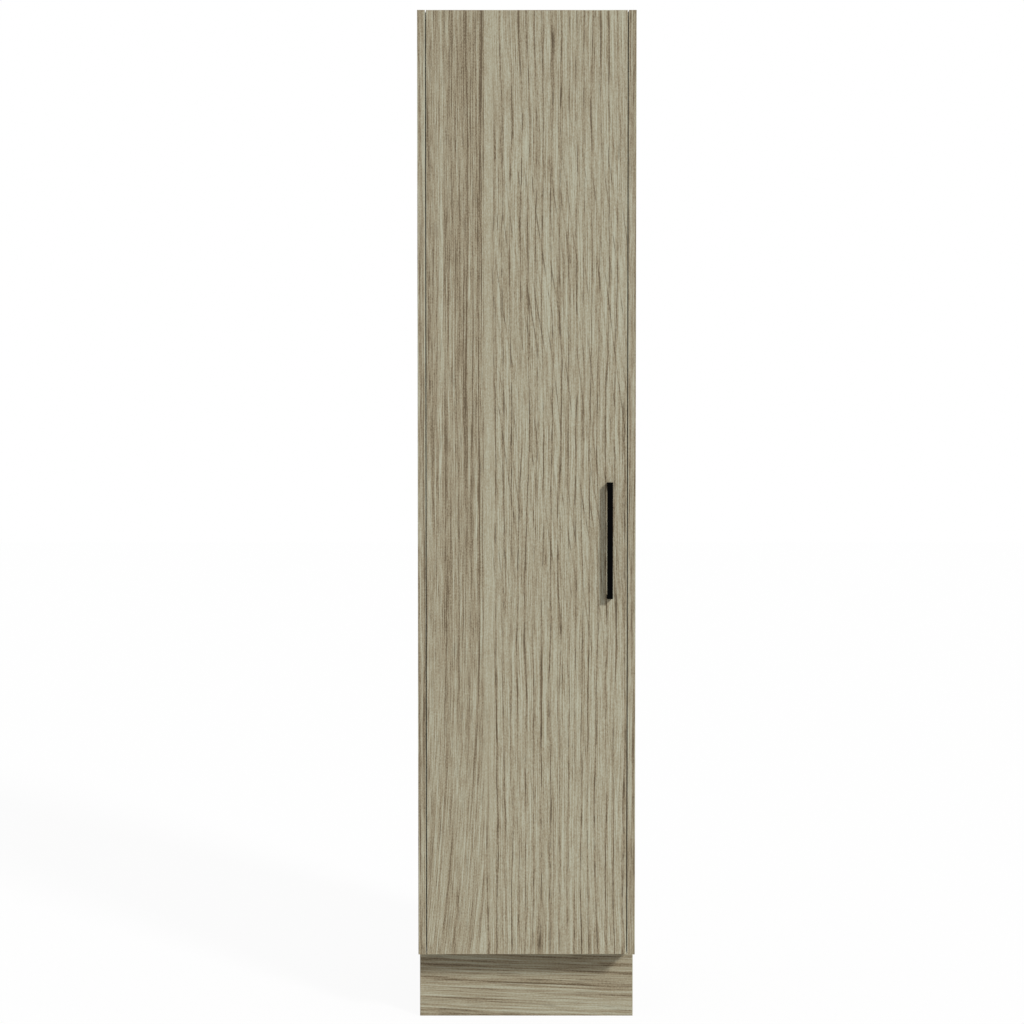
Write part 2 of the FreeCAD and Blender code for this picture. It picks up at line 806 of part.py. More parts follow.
def build_legs():
    """Sockets, feet, screws and kickboard clips."""
    for name, centre in leg_places().items():
        save(f"leg_socket_{name}", leg_socket(centre))
        save(f"leg_foot_{name}", leg_foot(centre))
        if name.startswith("front"):
            save(f"kick_clip_{name}", kick_clip(centre))
    save_group("leg_screws", leg_screws())


def build_door():
    """Door board, edging, handle and bumpers."""
    save("door_panel", door_panel())
    for name, strip in door_edging().items():
        save(f"door_edging_{name}", strip)
    save("handle", handle())
    save_group("handle_screws", handle_screws())
    save_group("door_bumpers", door_bumpers())


def build_hinges():
    """Hinges from the lowest to the highest."""
    for number, level in enumerate(hinge_levels(), start=1):
        save(f"hinge_cup_{number}", hinge_cup(level))
        save(f"hinge_link_{number}", hinge_link(level))
        save(f"hinge_arm_{number}", hinge_arm(level))
        save(f"hinge_plate_{number}", hinge_plate(level))
    save_group("cup_pins", [cup_pin(level, pin_radius) for level in hinge_levels()])
    save_group("arm_pins", [arm_pin(level, pin_radius) for level in hinge_levels()])
    save_group("arm_screws", [arm_screw(level) for level in hinge_levels()])
    save_group("cup_screws", cup_screws())
    save_group("plate_screws", plate_screws())


def main():
    os.makedirs("parts", exist_ok=True)
    build_carcass()
    build_legs()
    build_door()
    build_hinges()


main()
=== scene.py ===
import json
import math
from collections import namedtuple

import bmesh
import bpy
from mathutils import Matrix, Vector


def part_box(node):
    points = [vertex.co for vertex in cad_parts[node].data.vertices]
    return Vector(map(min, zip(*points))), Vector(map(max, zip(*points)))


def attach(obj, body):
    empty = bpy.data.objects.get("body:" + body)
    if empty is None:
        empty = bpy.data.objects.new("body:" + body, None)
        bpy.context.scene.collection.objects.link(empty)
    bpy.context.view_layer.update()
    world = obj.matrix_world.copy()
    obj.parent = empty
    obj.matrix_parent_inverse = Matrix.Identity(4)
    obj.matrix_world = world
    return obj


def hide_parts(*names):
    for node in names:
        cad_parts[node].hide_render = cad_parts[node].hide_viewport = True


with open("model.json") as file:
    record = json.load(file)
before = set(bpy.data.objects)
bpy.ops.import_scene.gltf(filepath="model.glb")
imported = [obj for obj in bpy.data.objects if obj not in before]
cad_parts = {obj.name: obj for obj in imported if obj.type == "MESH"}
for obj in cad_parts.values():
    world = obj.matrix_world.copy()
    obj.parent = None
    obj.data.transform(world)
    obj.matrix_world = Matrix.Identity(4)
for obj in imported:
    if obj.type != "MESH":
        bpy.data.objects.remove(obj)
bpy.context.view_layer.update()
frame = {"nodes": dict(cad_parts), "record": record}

# Camera: its place in front of the door in metres, its tilt in degrees, and its lens
CAMERA_DISTANCE = 4.600
CAMERA_SIDE = -0.0304
CAMERA_HEIGHT = 1.237
CAMERA_LEVEL_TILT = 90.0
CAMERA_PITCH_DOWN = 2.069
FOCAL_PIXELS = 2229.0
IMAGE_PIXELS = 1024.0
SENSOR_WIDTH = 36.0

# Light: direction towards the key light, its strength and width in degrees, and the even surround
KEY_DIRECTION = (0.77, -1.0, 0.745)
KEY_STRENGTH = 2.15
KEY_ANGLE = 9.0
FILL_STRENGTH = 0.50
WHITE = (1.0, 1.0, 1.0, 1.0)

# Floor: its size in metres, how much of it shows plain white, and how much light it gives back
FLOOR_SIZE = 40.0
FLOOR_WHITE_SHARE = 0.88
FLOOR_GLOW = 1.06
FLOOR_ALBEDO = 0.6

# Noise for a finish: features per metre across and along it, seed, octaves and their roughness
Grain = namedtuple("Grain", "across along seed octaves roughness", defaults=(2.0, 0.5))

# One layer of a wood figure: features per metre, strength, and seed counted from the figure's own
Layer = namedtuple("Layer", "across along strength seed", defaults=(0.0,))

# Layer cut into patches, with the noise levels where a patch starts and where it is full
Patch = namedtuple("Patch", "across along strength low high seed", defaults=(0.0,))

# Plain finish: its grain, its roughness, what the grain adds to that, and its bump in metres
Finish = namedtuple("Finish", "grain roughness spread bump")

# Noise: its middle value, and the step of the seed from one layer of a fine grain to the next
NOISE_MIDDLE = 0.5
SEED_STEP = 1.7

# Sockets of the mix node: two values or two colours, and where the mixed colour comes out
MIX_VALUES = (2, 3)
MIX_COLOURS = (6, 7)
MIX_COLOUR_OUT = 2

# Wood decor: colours in sRGB from the palest tone to the darkest, and of its pores
DECOR_PALE = (185, 184, 163)
DECOR_LIGHT = (172, 166, 143)
DECOR_MID = (160, 150, 126)
DECOR_BROWN = (140, 127, 103)
DECOR_DARK = (106, 93, 73)
DECOR_STOPS = (
    (0.0, DECOR_PALE),
    (0.28, DECOR_LIGHT),
    (0.52, DECOR_MID),
    (0.78, DECOR_BROWN),
    (1.0, DECOR_DARK),
)
PORE_COLOUR = (76, 64, 48)
PORE_STRENGTH = 0.62

# Wood decor: how tone and pores set its relief and roughness, its bump in metres, and a plain tone
TONE_RELIEF = -0.25
DECOR_ROUGHNESS = 0.52
PORE_ADDED_ROUGHNESS = 0.15
DECOR_BUMP = 0.00012
DECOR_SPECULAR = 0.15
FLAT_TONE = 0.5

# Lines of the figures: tone and dark core from one line to the next, the tone's mean, and the core's dashes
LINE_STOPS = (
    (0.0, 1.0), (0.04, 0.85), (0.09, 0.4), (0.22, 0.27), (0.36, 0.1), (0.5, 0.06),
    (0.64, 0.08), (0.78, 0.22), (0.91, 0.34), (0.96, 0.85), (1.0, 1.0),
)
CORE_STOPS = ((0.0, 1.0), (0.05, 1.0), (0.1, 0.0), (0.93, 0.0), (0.98, 1.0))
LINE_MEAN = 0.27
DASH = Patch(60.0, 19.0, 1.0, 0.47, 0.62)

# Open figure: spacing of its upright and leaning lines in metres, their strength, lean and seed
UPRIGHT_SPACING = 0.0168
LEANING_SPACING = 0.0135
UPRIGHT_STRENGTH = 0.58
LEANING_STRENGTH = 0.40
LEAN = 0.14
UPRIGHT_SEED = 10.1
LEANING_SEED = 14.9

# Open figure: how its lines bend and where they show, its base tone and its fine grain
SWAY = Layer(5.0, 2.0, 0.018)
WOBBLE = Layer(13.0, 6.0, 0.0040, 3.1)
DRIFT = Layer(18.0, 0.7, 1.5, 5.7)
FLAME = Layer(46.0, 3.6, 0.8, 7.9)
UPRIGHT_SHOWN = Patch(60.0, 2.6, 1.0, 0.18, 0.55, 9.3)
LEANING_SHOWN = Patch(70.0, 8.0, 1.0, 0.40, 0.62, 12.7)
FIGURED_BASE = 0.43
FIGURED_GRAIN_SEED = 17.3
FIGURED_LAYERS = (
    Layer(26.0, 1.2, 0.2),
    Layer(480.0, 3.6, 1.7),
    Layer(700.0, 20.0, 1.4),
    Layer(600.0, 260.0, 1.1),
)

# Straight figure: how its lines bend and where they show, their spacing in metres and its fine grain
STRAIGHT_SWAY = Layer(4.0, 1.1, 0.012)
STRAIGHT_DRIFT = Layer(22.0, 0.5, 0.06, 1.1)
STRAIGHT_SHOWN = Patch(60.0, 1.6, 0.40, 0.3, 0.6, 13.1)
STRAIGHT_DASH = Patch(330.0, 16.0, 0.4, 0.57, 0.70, 15.1)
STRAIGHT_SPACING = 0.0185
STRAIGHT_LINE_SEED = 14.3
STRAIGHT_GRAIN_SEED = 2.3
STRAIGHT_LAYERS = (
    Layer(42.0, 0.7, 0.18),
    Layer(150.0, 1.6, 0.5),
    Layer(440.0, 4.0, 1.7),
    Layer(660.0, 26.0, 1.4),
    Layer(600.0, 260.0, 1.1),
)

# Door, left of the split: how its grain leans near the floor, and its bands from the left, in metres
DOOR_HALF_WIDTH = 0.207
LEFT_SEED = 41.0
LEFT_BASE = 0.475
LEFT_LEAN = 0.075
LEFT_LEAN_LEVEL = 0.85
LEFT_LEAN_POWER = 2.0
LEFT_BANDS_WIDTH = 0.120
LEFT_BAND_STOPS = (
    (0.0, 0.49), (0.1, 0.52), (0.14, 0.68), (0.19, 0.42), (0.26, 0.38), (0.33, 0.66),
    (0.46, 0.54), (0.56, 0.7), (0.68, 0.68), (0.78, 0.58), (1.0, 0.7),
)
LEFT_BAND_MIDDLE = 0.44
LEFT_BAND_LEVELS = (0.35, 1.75)

# Door: the split, and the pale strip to the right of it, in metres
DOOR_SPLIT = -0.0885
SPLIT_SOFTNESS = 0.001
SPLIT_SEED = 60.0
SPLIT_SWAY = Layer(2.0, 1.2, 0.010)
STRIP_WIDTH = 0.024
STRIP_FULL_SHARE = 0.5
STRIP_LEVELS = (0.15, 0.85)
STRIP_BASE = 0.30
STRIP_SEED = 63.0
STRIP_LAYERS = (
    Layer(240.0, 1.0, 0.5),
    Layer(700.0, 20.0, 0.9),
    Layer(600.0, 260.0, 1.1),
)

# Door, right of the strip: levels in metres where its leaning lines grow strong and fade again
RIGHT_SEED = 3.0
CROSSING_LEVELS = (0.75, 1.05, 1.65, 1.95)
CROSSING_SHARE = 0.75

# Sides: zones of straight figure in the open one
SIDE_LEFT_SEED = 101.0
SIDE_RIGHT_SEED = 131.0
SIDE_STRAIGHT_SEED = 33.0
SIDE_BASE = 0.58
SIDE_CROSSING = 0.5
SIDE_ZONES = Patch(5.2, 0.12, 1.0, 0.52, 0.535, 37.0)

# Kickboard: how its grain is stretched, how it dips, and its bands from the floor to its top
KICK_SEED = 77.0
KICK_BASE = 0.47
KICK_ACROSS = 0.72
KICK_ALONG = 0.8
KICK_DIP = 0.04
KICK_BAND_STOPS = (
    (0.0, 0.42), (0.1, 0.46), (0.2, 0.48), (0.27, 0.4),
    (0.34, 0.44), (0.45, 0.57), (0.75, 0.6), (1.0, 0.57),
)
KICK_BAND_MIDDLE = 0.5
KICK_LAYERS = (
    Layer(42.0, 0.7, 0.18),
    Layer(130.0, 1.8, 0.45),
    Layer(330.0, 4.0, 1.2),
    Layer(640.0, 13.0, 1.6),
    Layer(620.0, 300.0, 0.8),
)

# Edging: fine grain of its narrow faces, and its arrises, painted paler as a highlight on the edge and as
# rubbed wear
SIDE_EDGING_SEED = 159.0
DOOR_EDGING_SEED = 171.0
LEVEL_EDGING_SEED = 181.0
EDGING_BASE = 0.53
EDGING_LAYERS = (
    Layer(70.0, 0.7, 0.45),
    Layer(210.0, 1.4, 1.25),
    Layer(440.0, 4.0, 1.9),
    Layer(660.0, 26.0, 1.4),
    Layer(600.0, 260.0, 1.0),
)
ARRIS_WIDTH = 0.0011
ARRIS_HIGHLIGHT_TONE = -0.22

# Boards: how deep a face is taken to reach, in metres, and the decor under the bottom board
FACE_DEPTH = 0.0005
UNDERSIDE_SEED = 207.0
UNDERSIDE_BASE = 0.56

# Boards: places of the two shades on a plain ramp, white faces and chips of cut edges, in sRGB
SHADE_PLACES = (0.3, 0.7)
WHITE_SHADES = ((226, 225, 221), (236, 235, 231))
WHITE_MOTTLE = Grain(420.0, 420.0, 2.0, 3.0)
WHITE_PEARL = Finish(Grain(900.0, 900.0, 5.0), 0.44, 0.12, 0.00006)
WHITE_SPECULAR = 0.4
CHIP_SHADES = ((132, 100, 66), (178, 142, 98), (208, 176, 132))
CHIP_PLACES = (0.0, 0.5, 1.0)
CHIP_RATE = 480.0

# Back: hardboard outside, in sRGB, with fibres and faint clouds, rougher than the white inside
HARDBOARD_SHADES = ((116, 82, 54), (146, 108, 74))
HARDBOARD_PLACES = (0.38, 0.62)
HARDBOARD_FIBRES = Grain(260.0, 140.0, 4.0, 5.0, 0.7)
HARDBOARD_CLOUDS = Grain(11.0, 7.0, 6.0, 3.0)
HARDBOARD_CLOUD_SHARE = 0.26
HARDBOARD_BUMP = 0.00015
BACK_ROUGHNESS = 0.48
HARDBOARD_ADDED_ROUGHNESS = 0.3
BACK_SPECULAR = 0.3

# Fittings: shades of metal and plastic as linear colours, of beech and pads in sRGB
COATING = Finish(Grain(1600.0, 1600.0, 1.0), 0.40, 0.12, 0.00002)
COATING_SHADES = ((0.0006, 0.0006, 0.0006, 1.0), (0.0016, 0.0016, 0.0016, 1.0))
COATING_SPECULAR = 0.02
PLATING = Finish(Grain(2500.0, 120.0, 1.0, 3.0), 0.2, 0.2, 0.00002)
PLATING_SHADES = ((0.50, 0.49, 0.46, 1.0), (0.66, 0.65, 0.62, 1.0))
PLASTIC = Finish(Grain(2200.0, 2200.0, 1.0), 0.55, 0.0, 0.00005)
PLASTIC_SHADES = ((0.012, 0.012, 0.013, 1.0), (0.022, 0.022, 0.023, 1.0))
PLASTIC_SPECULAR = 0.4
BEECH = Finish(Grain(900.0, 160.0, 1.0), 0.6, 0.0, 0.00004)
BEECH_SHADES = ((176, 130, 88), (208, 166, 122))
PAD = Finish(Grain(1500.0, 1500.0, 1.0), 0.3, 0.0, 0.00003)
PAD_SHADES = ((214, 214, 208), (228, 228, 223))
PAD_CLEARNESS = 0.3

# New pieces: decimals at which corners count as one, and the angle of a sharp edge in degrees
WELD_DIGITS = 6
SHARP_ANGLE = 35.0

# Screws: shares of the head's radius and height, and of its cross recess; the tip is in metres
SCREW_SIDES = 24
HEAD_SHARES = ((1.0, 0.0), (1.0, 0.3), (0.95, 0.6), (0.82, 0.86), (0.68, 1.0))
HEAD_EDGE_SHARE = 0.9
CROSS_ARMS = 4
CROSS_REACH_SHARE = 0.56
CROSS_WIDTH_SHARE = 0.12
CROSS_FLOOR_SHARE = 0.55
CROSS_DEPTH_SHARE = 0.85
TIP_SHARE = 0.3
TIP_LENGTH = 0.003
SCREW_HEADS = {
    "cup_screws": Vector((0.0, 1.0, 0.0)),
    "handle_screws": Vector((0.0, 1.0, 0.0)),
    "plate_screws": Vector((1.0, 0.0, 0.0)),
    "arm_screws": Vector((1.0, 0.0, 0.0)),
    "leg_screws": Vector((0.0, 0.0, -1.0)),
}

# Feet: grip flutes round the rim and the screw thread of the stem, in metres
FOOT_SIDES = 96
FOOT_EDGE_SHARE = 0.98
FLUTES = 24
FLUTE_DEPTH = 0.0009
RIM_ROUND = 0.0008
THREAD_PITCH = 0.005
THREAD_DEPTH = 0.0012
THREAD_SLOPE = 2.4
THREAD_ROWS = 8
THREAD_TURNS = 10

# Bumpers: shares of radius and thickness from the door outwards
BUMPER_SIDES = 32
BUMPER_SHARES = ((1.0, 0.0), (1.0, 0.25), (0.96, 0.5), (0.84, 0.74), (0.62, 0.9), (0.34, 0.98))
BUMPER_OUTWARD = Vector((0.0, 1.0, 0.0))


def linear(colour):
    """sRGB colour, 0 to 255, as a linear RGBA value."""
    def channel(value):
        value = value / 255.0
        return value / 12.92 if value <= 0.04045 else ((value + 0.055) / 1.055) ** 2.4
    return tuple(channel(value) for value in colour) + (1.0,)


class Graph:
    """Nodes of a new material or world, and short ways to add to them."""

    def __init__(self, name, kind="materials"):
        self.owner = getattr(bpy.data, kind).new(name)
        self.owner.use_nodes = True
        self.tree = self.owner.node_tree
        self.tree.nodes.clear()

    def node(self, kind, **settings):
        """New node with some of its settings."""
        made = self.tree.nodes.new(kind)
        for key, value in settings.items():
            setattr(made, key, value)
        return made

    def put(self, socket, value):
        """Links a socket, or sets a plain value."""
        if isinstance(value, bpy.types.NodeSocket):
            self.tree.links.new(value, socket)
        else:
            socket.default_value = value

    def math(self, operation, *values):
        """Sum, product or other operation on sockets and numbers."""
        made = self.node("ShaderNodeMath", operation=operation)
        for socket, value in zip(made.inputs, values):
            self.put(socket, value)
        return made.outputs[0]

    def position(self):
        """Object coordinates, one socket per axis."""
        coordinates = self.node("ShaderNodeTexCoord")
        split = self.node("ShaderNodeSeparateXYZ")
        self.put(split.inputs[0], coordinates.outputs["Object"])
        return dict(zip("xyz", split.outputs))

    def noise(self, across, along, grain):
        """Noise with the grain's own rate across and along it."""
        vector = self.node("ShaderNodeCombineXYZ")
        self.put(vector.inputs[0], self.math("MULTIPLY", across, grain.across))
        self.put(vector.inputs[1], self.math("MULTIPLY", along, grain.along))
        self.put(vector.inputs[2], grain.seed)
        made = self.node("ShaderNodeTexNoise", noise_dimensions="3D")
        self.put(made.inputs["Vector"], vector.outputs[0])
        self.put(made.inputs["Scale"], 1.0)
        self.put(made.inputs["Detail"], grain.octaves)
        self.put(made.inputs["Roughness"], grain.roughness)
        return made.outputs["Fac"]

    def ramp(self, factor, stops):
        """Colour ramp through (place, colour) stops."""
        made = self.node("ShaderNodeValToRGB")
        elements = made.color_ramp.elements
        while len(elements) < len(stops):
            elements.new(1.0)
        for element, (place, colour) in zip(elements, stops):
            element.position = place
            element.color = colour
        self.put(made.inputs[0], factor)
        return made.outputs[0]

    def curve(self, factor, stops):
        """Grey ramp through (place, value) stops."""
        return self.ramp(factor, [(place, (value, value, value, 1.0)) for place, value in stops])

    def smooth(self, value, low, high):
        """0 below low, 1 above high, smooth between."""
        made = self.node("ShaderNodeMapRange", interpolation_type="SMOOTHSTEP")
        for socket, number in zip(made.inputs, (value, low, high, 0.0, 1.0)):
            self.put(socket, number)
        return made.outputs[0]

    def mix(self, factor, first, second):
        """Mix of two colours."""
        made = self.node("ShaderNodeMix", data_type="RGBA")
        self.put(made.inputs[0], factor)
        for index, colour in zip(MIX_COLOURS, (first, second)):
            self.put(made.inputs[index], colour)
        return made.outputs[MIX_COLOUR_OUT]

    def mix_value(self, factor, first, second):
        """Mix of two numbers."""
        made = self.node("ShaderNodeMix", data_type="FLOAT")
        self.put(made.inputs[0], factor)
        for index, value in zip(MIX_VALUES, (first, second)):
            self.put(made.inputs[index], value)
        return made.outputs[0]

    def surface(self, colour, roughness, height, bump_distance, **inputs):
        """Principled surface with bump, joined to the output."""
        shader = self.node("ShaderNodeBsdfPrincipled")
        self.put(shader.inputs["Base Color"], colour)
        self.put(shader.inputs["Roughness"], roughness)
        for name, value in inputs.items():
            self.put(shader.inputs[name.replace("_", " ")], value)
        bump = self.node("ShaderNodeBump")
        self.put(bump.inputs["Distance"], bump_distance)
        self.put(bump.inputs["Height"], height)
        self.put(shader.inputs["Normal"], bump.outputs[0])
        output = self.node("ShaderNodeOutputMaterial")
        self.put(output.inputs[0], shader.outputs[0])
        return self.owner


def total(graph, *values):
    """Sum of several sockets or numbers."""
    result = values[0]
    for value in values[1:]:
        result = graph.math("ADD", result, value)
    return result


def spread(graph, across, along, seed, layer):
    """One layer of noise that runs either side of zero."""
    value = graph.noise(across, along, Grain(layer.across, layer.along, seed + layer.seed))
    return graph.math("MULTIPLY", graph.math("SUBTRACT", value, NOISE_MIDDLE), layer.strength)


def patches(graph, across, along, seed, patch):
    """Noise turned into patches with soft ends, up to the patch's strength."""
    value = graph.noise(across, along, Grain(patch.across, patch.along, seed + patch.seed))
    return graph.math("MULTIPLY", graph.smooth(value, patch.low, patch.high), patch.strength)


def fine_grain(graph, across, along, seed, layers):
    """Sum of the grain's layers, from broad bands to single fibres."""
    return total(graph, *[spread(graph, across, along, seed + SEED_STEP * step, layer)
                          for step, layer in enumerate(layers)])


def lines(graph, across, along, seed, spacing, shown):
    """Dark lines a spacing apart with brown beside them, and their broken cores."""
    phase = graph.math("FRACT", graph.math("DIVIDE", across, spacing))
    body = graph.math("SUBTRACT", graph.curve(phase, LINE_STOPS), LINE_MEAN)
    dashes = patches(graph, across, along, seed, DASH)
    core = graph.math("MULTIPLY", graph.curve(phase, CORE_STOPS), dashes)
    return graph.math("MULTIPLY", body, shown), graph.math("MULTIPLY", core, shown)


def figured_tone(graph, across, along, seed, crossing):
    """Tone and pores of the open figure: broken upright lines, crossed by leaning ones."""
    bent = total(graph, across, spread(graph, across, along, seed, SWAY),
                 spread(graph, across, along, seed, WOBBLE))
    drift = graph.math("ADD", spread(graph, across, along, seed, DRIFT),
                       spread(graph, across, along, seed, FLAME))
    drifted = graph.math("ADD", bent, graph.math("MULTIPLY", drift, UPRIGHT_SPACING))
    shown = patches(graph, bent, along, seed, UPRIGHT_SHOWN)
    upright, core = lines(graph, drifted, along, seed + UPRIGHT_SEED, UPRIGHT_SPACING, shown)
    lean = graph.math("MULTIPLY_ADD", along, LEAN, bent)
    crossed = graph.math("MULTIPLY", patches(graph, lean, along, seed, LEANING_SHOWN), crossing)
    leaning, leaning_core = lines(graph, lean, along, seed + LEANING_SEED, LEANING_SPACING, crossed)
    tone = total(graph, FIGURED_BASE, graph.math("MULTIPLY", upright, UPRIGHT_STRENGTH),
                 graph.math("MULTIPLY", leaning, LEANING_STRENGTH),
                 fine_grain(graph, bent, along, seed + FIGURED_GRAIN_SEED, FIGURED_LAYERS))
    return tone, graph.math("MAXIMUM", core, leaning_core)


def straight_tone(graph, across, along, seed, base, layers=STRAIGHT_LAYERS):
    """Tone and pores of the dense straight figure."""
    bent = graph.math("ADD", across, spread(graph, across, along, seed, STRAIGHT_SWAY))
    drifted = graph.math("ADD", bent, spread(graph, bent, along, seed, STRAIGHT_DRIFT))
    shown = patches(graph, bent, along, seed, STRAIGHT_SHOWN)
    lined, core = lines(graph, drifted, along, seed + STRAIGHT_LINE_SEED, STRAIGHT_SPACING, shown)
    grain = fine_grain(graph, bent, along, seed + STRAIGHT_GRAIN_SEED, layers)
    dashes = patches(graph, bent, along, seed, STRAIGHT_DASH)
    return total(graph, base, lined, grain), graph.math("MAXIMUM", dashes, core)


def decor_colour(graph, tone, pores):
    """Colour of the decor from its tone and pores."""
    colour = graph.ramp(tone, [(place, linear(shade)) for place, shade in DECOR_STOPS])
    return graph.mix(graph.math("MULTIPLY", pores, PORE_STRENGTH), colour, linear(PORE_COLOUR))


def decor_finish(graph, colour, tone, pores):
    """Matt laminate with its grain pressed in."""
    height = graph.math("SUBTRACT", graph.math("MULTIPLY", tone, TONE_RELIEF), pores)
    roughness = graph.math("MULTIPLY_ADD", pores, PORE_ADDED_ROUGHNESS, DECOR_ROUGHNESS)
    return graph.surface(colour, roughness, height, DECOR_BUMP, Specular_IOR_Level=DECOR_SPECULAR)


def above(graph, value, limit):
    """1 on a face at the limit and past it."""
    return graph.math("GREATER_THAN", value, limit - FACE_DEPTH)


def below(graph, value, limit):
    """1 on a face at the limit and short of it."""
    return graph.math("LESS_THAN", value, limit + FACE_DEPTH)


def around(graph, place):
    """Coordinate that runs on over faces to the front and to the side."""
    return graph.math("ADD", place["x"], place["y"])


def chip_colour(graph):
    """Cut edge of a board: pale and brown wood chips."""
    coordinates = graph.node("ShaderNodeTexCoord")
    chips = graph.node("ShaderNodeTexVoronoi")
    graph.put(chips.inputs["Vector"], coordinates.outputs["Object"])
    graph.put(chips.inputs["Scale"], CHIP_RATE)
    split = graph.node("ShaderNodeSeparateColor")
    graph.put(split.inputs[0], chips.outputs["Color"])
    return graph.ramp(split.outputs[0], list(zip(CHIP_PLACES, map(linear, CHIP_SHADES))))


def white_colour(graph, place):
    """White board with a faint pearl mottle."""
    mottle = graph.noise(around(graph, place), place["z"], WHITE_MOTTLE)
    return graph.ramp(mottle, list(zip(SHADE_PLACES, map(linear, WHITE_SHADES))))


def white_inside(graph, place, inside, tone, pores):
    """Colour, tone and pores of a decor board whose inner face is white."""
    tone = graph.mix_value(inside, tone, FLAT_TONE)
    pores = graph.math("MULTIPLY", pores, graph.math("SUBTRACT", 1.0, inside))
    colour = graph.mix(inside, decor_colour(graph, tone, pores), white_colour(graph, place))
    return colour, tone, pores


def door_left(graph, across, along):
    """Tone and pores left of the split: straight figure in brown and pale bands."""
    under = graph.math("MAXIMUM", graph.math("SUBTRACT", LEFT_LEAN_LEVEL, along), 0.0)
    leaning = graph.math("MULTIPLY_ADD", graph.math("POWER", under, LEFT_LEAN_POWER), LEFT_LEAN, across)
    tone, pores = straight_tone(graph, leaning, along, LEFT_SEED, LEFT_BASE)
    share = graph.math("MULTIPLY_ADD", leaning, 1.0 / LEFT_BANDS_WIDTH, DOOR_HALF_WIDTH / LEFT_BANDS_WIDTH)
    bands = graph.math("SUBTRACT", graph.curve(share, LEFT_BAND_STOPS), LEFT_BAND_MIDDLE)
    upper = graph.smooth(along, *LEFT_BAND_LEVELS)
    return total(graph, tone, graph.math("MULTIPLY", bands, upper)), pores


def door_crossing(graph, along):
    """How much the leaning lines show at each level of the door."""
    low, low_full, high_full, high = CROSSING_LEVELS
    rising = graph.smooth(along, low, low_full)
    falling = graph.smooth(along, high, high_full)
    middle = graph.math("MULTIPLY", rising, falling)
    return graph.math("MULTIPLY_ADD", middle, CROSSING_SHARE, 1.0 - CROSSING_SHARE)


def door_right(graph, across, along, edge):
    """Tone and pores right of the split: a pale strip, then the open figure."""
    tone, pores = figured_tone(graph, across, along, RIGHT_SEED, door_crossing(graph, along))
    past = graph.smooth(edge, DOOR_SPLIT + STRIP_WIDTH * STRIP_FULL_SHARE, DOOR_SPLIT + STRIP_WIDTH)
    shown = graph.math("MULTIPLY", graph.math("SUBTRACT", 1.0, past), graph.smooth(along, *STRIP_LEVELS))
    figured = graph.math("SUBTRACT", 1.0, shown)
    strip = graph.math("ADD", STRIP_BASE, fine_grain(graph, across, along, STRIP_SEED, STRIP_LAYERS))
    return graph.mix_value(figured, strip, tone), graph.math("MULTIPLY", pores, figured)


def door_decor():
    """Door: two figures side by side on its face, white inside."""
    graph = Graph("door_decor")
    place = graph.position()
    across, along = place["x"], place["z"]
    edge = graph.math("ADD", across, spread(graph, across, along, SPLIT_SEED, SPLIT_SWAY))
    left, left_pores = door_left(graph, across, along)
    right, right_pores = door_right(graph, across, along, edge)
    side = graph.smooth(edge, DOOR_SPLIT - SPLIT_SOFTNESS, DOOR_SPLIT + SPLIT_SOFTNESS)
    tone = graph.mix_value(side, left, right)
    pores = graph.mix_value(side, left_pores, right_pores)
    inside = above(graph, place["y"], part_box("door_panel")[1].y)
    colour, tone, pores = white_inside(graph, place, inside, tone, pores)
    return decor_finish(graph, colour, tone, pores)


def side_decor(name, node, seed):
    """Side board: decor outside, white inside, and bare chips on its cut edges."""
    graph = Graph(name)
    place = graph.position()
    across, along = place["y"], place["z"]
    figured, figured_pores = figured_tone(graph, across, along, seed, SIDE_CROSSING)
    straight, straight_pores = straight_tone(graph, across, along, seed + SIDE_STRAIGHT_SEED, SIDE_BASE)
    zone = patches(graph, across, along, seed, SIDE_ZONES)
    tone = graph.mix_value(zone, figured, straight)
    pores = graph.mix_value(zone, figured_pores, straight_pores)
    inside = below(graph, graph.math("ABSOLUTE", place["x"]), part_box("top_panel")[1].x)
    colour, tone, pores = white_inside(graph, place, inside, tone, pores)
    low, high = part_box(node)
    ends = graph.math("MAXIMUM", below(graph, along, low.z), above(graph, along, high.z))
    cut = graph.math("MAXIMUM", ends, above(graph, across, high.y))
    return decor_finish(graph, graph.mix(cut, colour, chip_colour(graph)), tone, pores)


def kick_decor():
    """Kickboard: level grain that dips to one side, in pale and brown bands."""
    graph = Graph("kick_decor")
    place = graph.position()
    level = graph.math("MULTIPLY_ADD", place["x"], KICK_DIP, place["z"])
    across = graph.math("MULTIPLY", level, KICK_ACROSS)
    along = graph.math("MULTIPLY", place["x"], KICK_ALONG)
    tone, pores = straight_tone(graph, across, along, KICK_SEED, KICK_BASE, KICK_LAYERS)
    share = graph.math("DIVIDE", level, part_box("kickboard")[1].z)
    bands = graph.math("SUBTRACT", graph.curve(share, KICK_BAND_STOPS), KICK_BAND_MIDDLE)
    tone = total(graph, tone, bands)
    return decor_finish(graph, decor_colour(graph, tone, pores), tone, pores)


def painted_highlight_arris(graph, across, edges):
    """Painted highlight, also standing for rubbed wear: paler tone within an arris's width of the given
    edges.
    """
    marks = [graph.math("COMPARE", across, edge, ARRIS_WIDTH) for edge in edges]
    mark = marks[0]
    for other in marks[1:]:
        mark = graph.math("MAXIMUM", mark, other)
    return graph.math("MULTIPLY", mark, ARRIS_HIGHLIGHT_TONE)


def edging_edges(node):
    """Distances from the middle to both edges of an upright strip on the right."""
    low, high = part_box(node)
    return low.x, high.x


